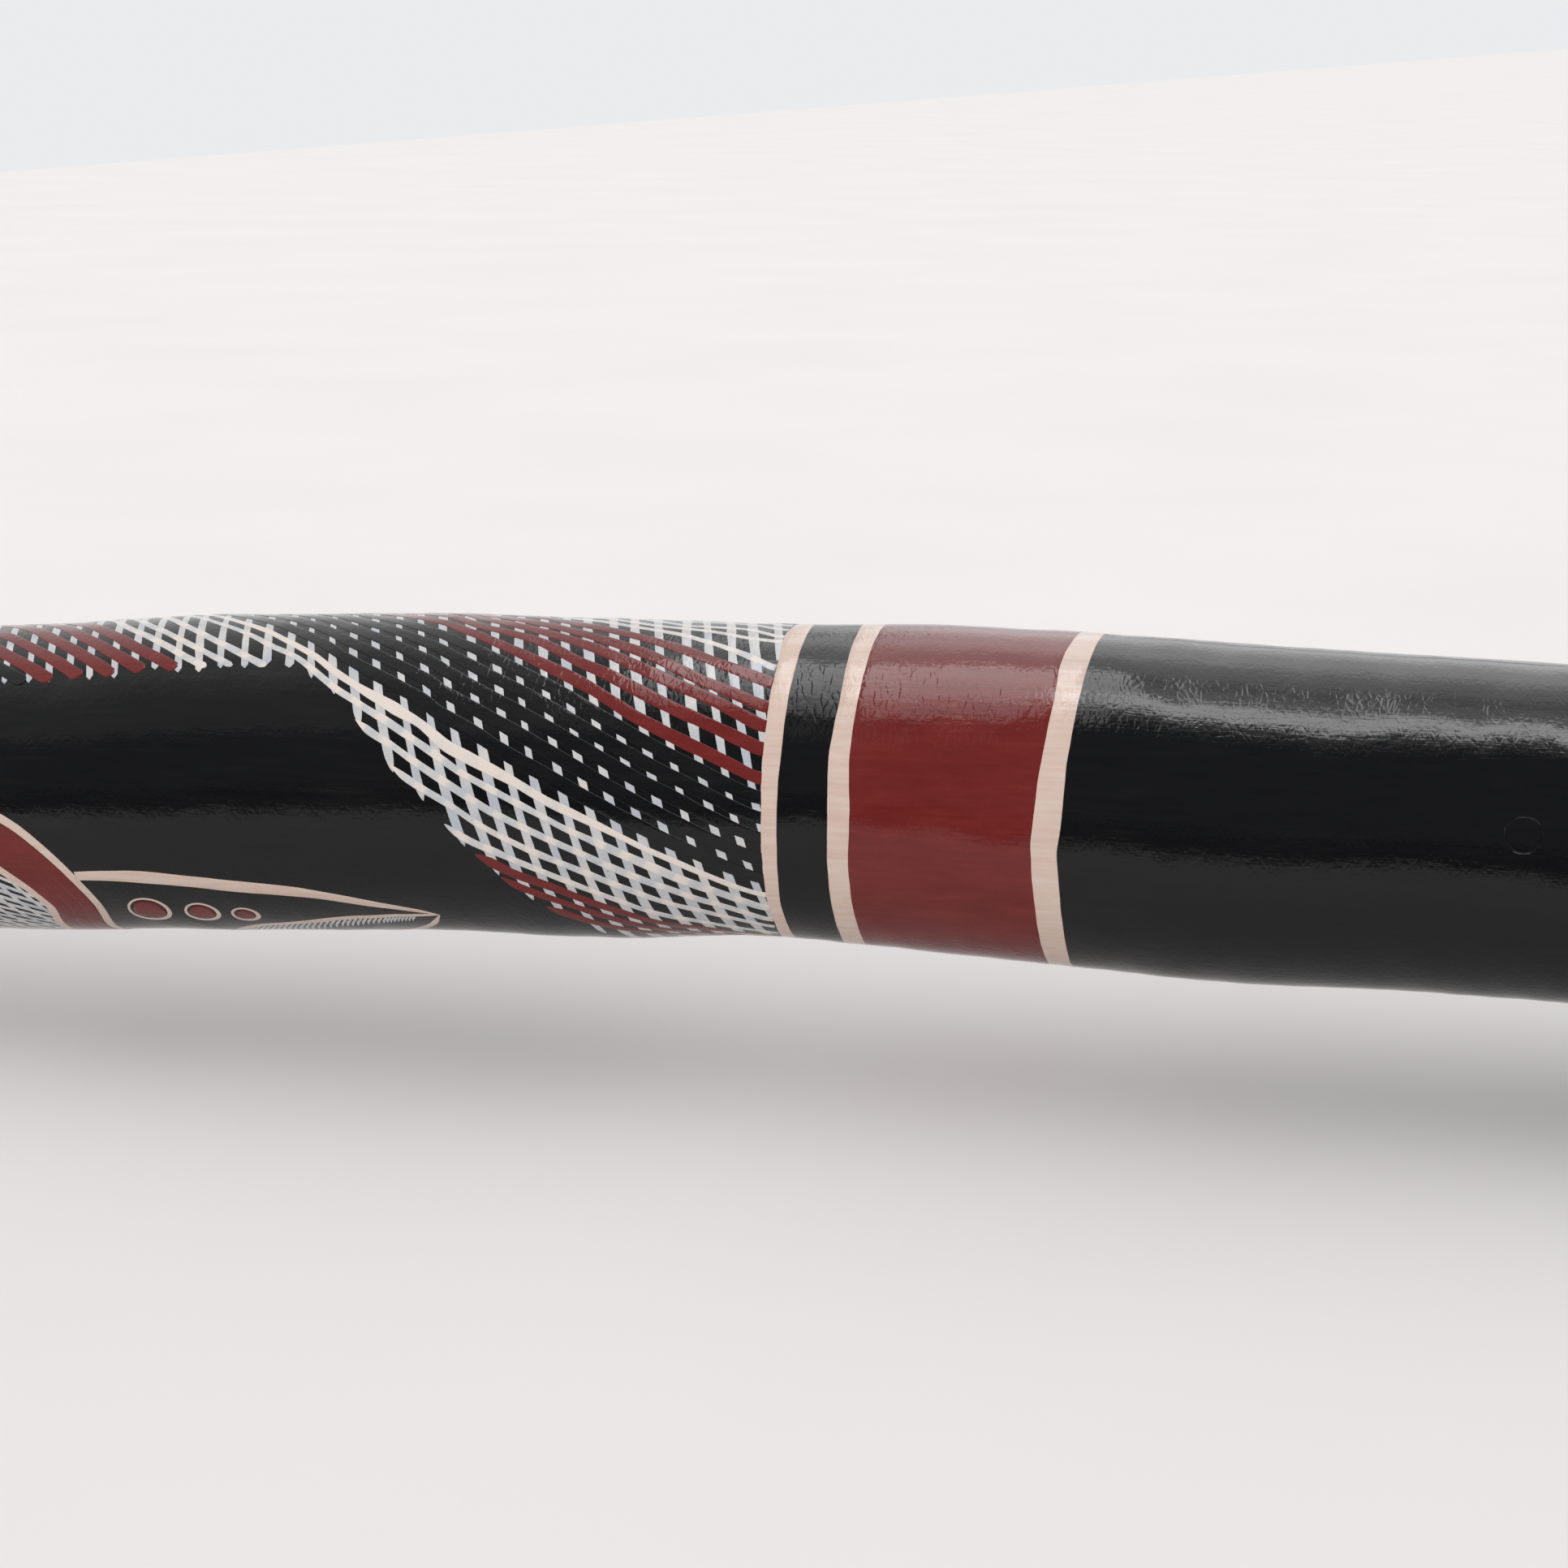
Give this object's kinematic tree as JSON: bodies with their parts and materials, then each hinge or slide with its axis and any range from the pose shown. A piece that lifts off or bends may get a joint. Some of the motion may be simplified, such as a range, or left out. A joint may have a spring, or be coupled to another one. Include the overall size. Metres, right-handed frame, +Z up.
{
  "type": "didgeridoo",
  "caption": "Long, gently bent wooden wind instrument with a flared bell, a wax blowing end and a painted, varnished surface.",
  "frame": {"origin": "bottom centre of the instrument's box as it lies on a level surface", "axes": "+X from the bell towards the blowing end, -Y the side seen in the picture, +Z up"},
  "size_m": [1.203, 0.0904, 0.0887],
  "materials": {
    "lacquered_wood": "gloss black paint with clear varnish over wood",
    "wood_glue": "cured wood glue",
    "beeswax": "satin beeswax",
    "filler": "black filler under varnish"
  },
  "bodies": {
    "root": {"shell_front": "lacquered_wood", "shell_back": "lacquered_wood", "seam_glue_upper": "wood_glue", "seam_glue_lower": "wood_glue", "mouthpiece_wax": "beeswax", "knot_plug": "filler"}
  },
  "joints": []
}
